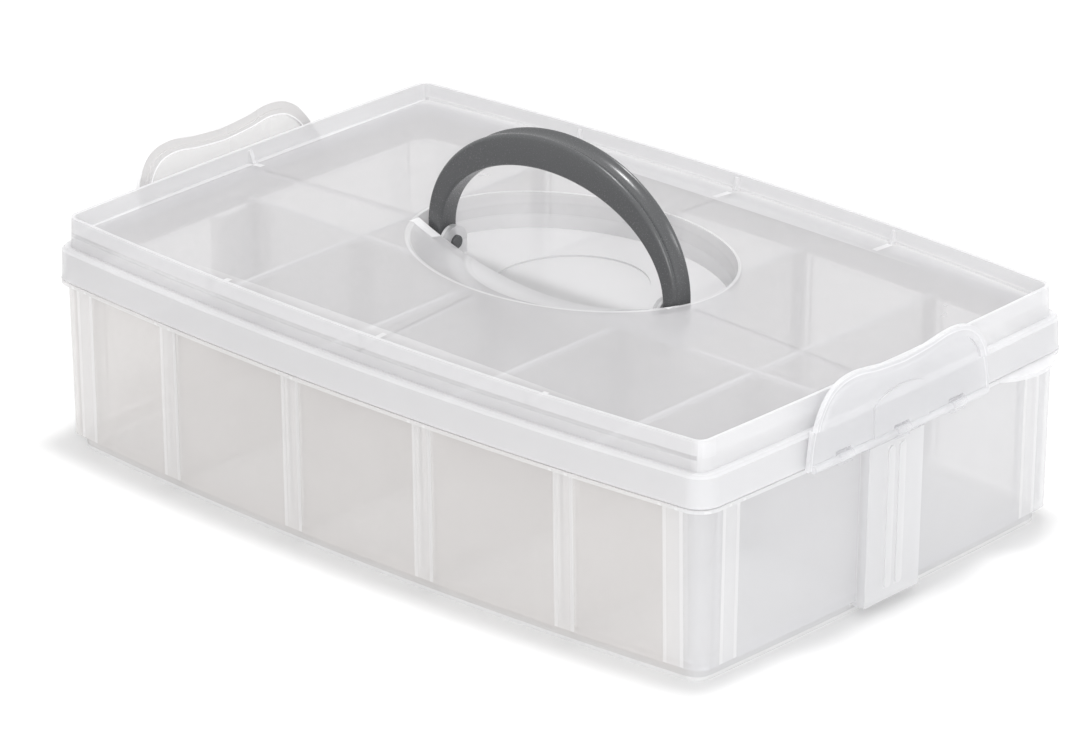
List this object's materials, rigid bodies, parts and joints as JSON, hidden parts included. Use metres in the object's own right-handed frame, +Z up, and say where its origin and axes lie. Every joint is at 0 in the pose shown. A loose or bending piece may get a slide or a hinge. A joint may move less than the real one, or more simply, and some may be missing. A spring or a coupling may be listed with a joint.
{
  "type": "divided storage case",
  "caption": "Translucent divided storage case for bobbins and craft parts, with lift-off lid, folding carry handle and end latches.",
  "frame": {"origin": "middle of the tray's base, on the surface that the case stands on", "axes": "+Z up, +X along the case's length towards the closed latch, +Y from the front long wall to the back one"},
  "size_m": [0.3285, 0.2096, 0.132],
  "materials": {
    "tray": "milky translucent polypropylene, satin",
    "lid": "milky translucent polypropylene, semi-gloss",
    "handle": "charcoal plastic with a fine satin grain",
    "latch": "milky translucent polypropylene, semi-gloss",
    "divider": "milky translucent polypropylene, satin"
  },
  "bodies": {
    "tray_body": {"tray": "tray", "long_divider": "divider", "cross_divider_front_1": "divider", "cross_divider_front_2": "divider", "cross_divider_front_3": "divider", "cross_divider_front_4": "divider", "cross_divider_back_1": "divider", "cross_divider_back_2": "divider", "cross_divider_back_3": "divider", "cross_divider_back_4": "divider"},
    "lid_body": {"lid": "lid"},
    "handle_body": {"carry_handle": "handle"},
    "right_latch_body": {"right_latch": "latch"},
    "left_latch_body": {"left_latch": "latch"}
  },
  "joints": [
    {"name": "lid_lift", "type": "slide", "parent": "tray_body", "child": "lid_body", "axis": [0, 0, 1], "range_m": [0, 0.06]},
    {"name": "handle_fold", "type": "hinge", "parent": "lid_body", "child": "handle_body", "pos_m": [0, 0.002, 0.0784], "axis": [-1, 0, 0], "range_deg": [-8, 90]},
    {"name": "right_latch_hinge", "type": "hinge", "parent": "tray_body", "child": "right_latch_body", "pos_m": [0.1584, 0, 0.0664], "axis": [0, 1, 0], "range_deg": [-4.5, 110]},
    {"name": "left_latch_hinge", "type": "hinge", "parent": "tray_body", "child": "left_latch_body", "pos_m": [-0.1584, 0, 0.0664], "axis": [0, -1, 0], "range_deg": [-20.5, 94]}
  ]
}
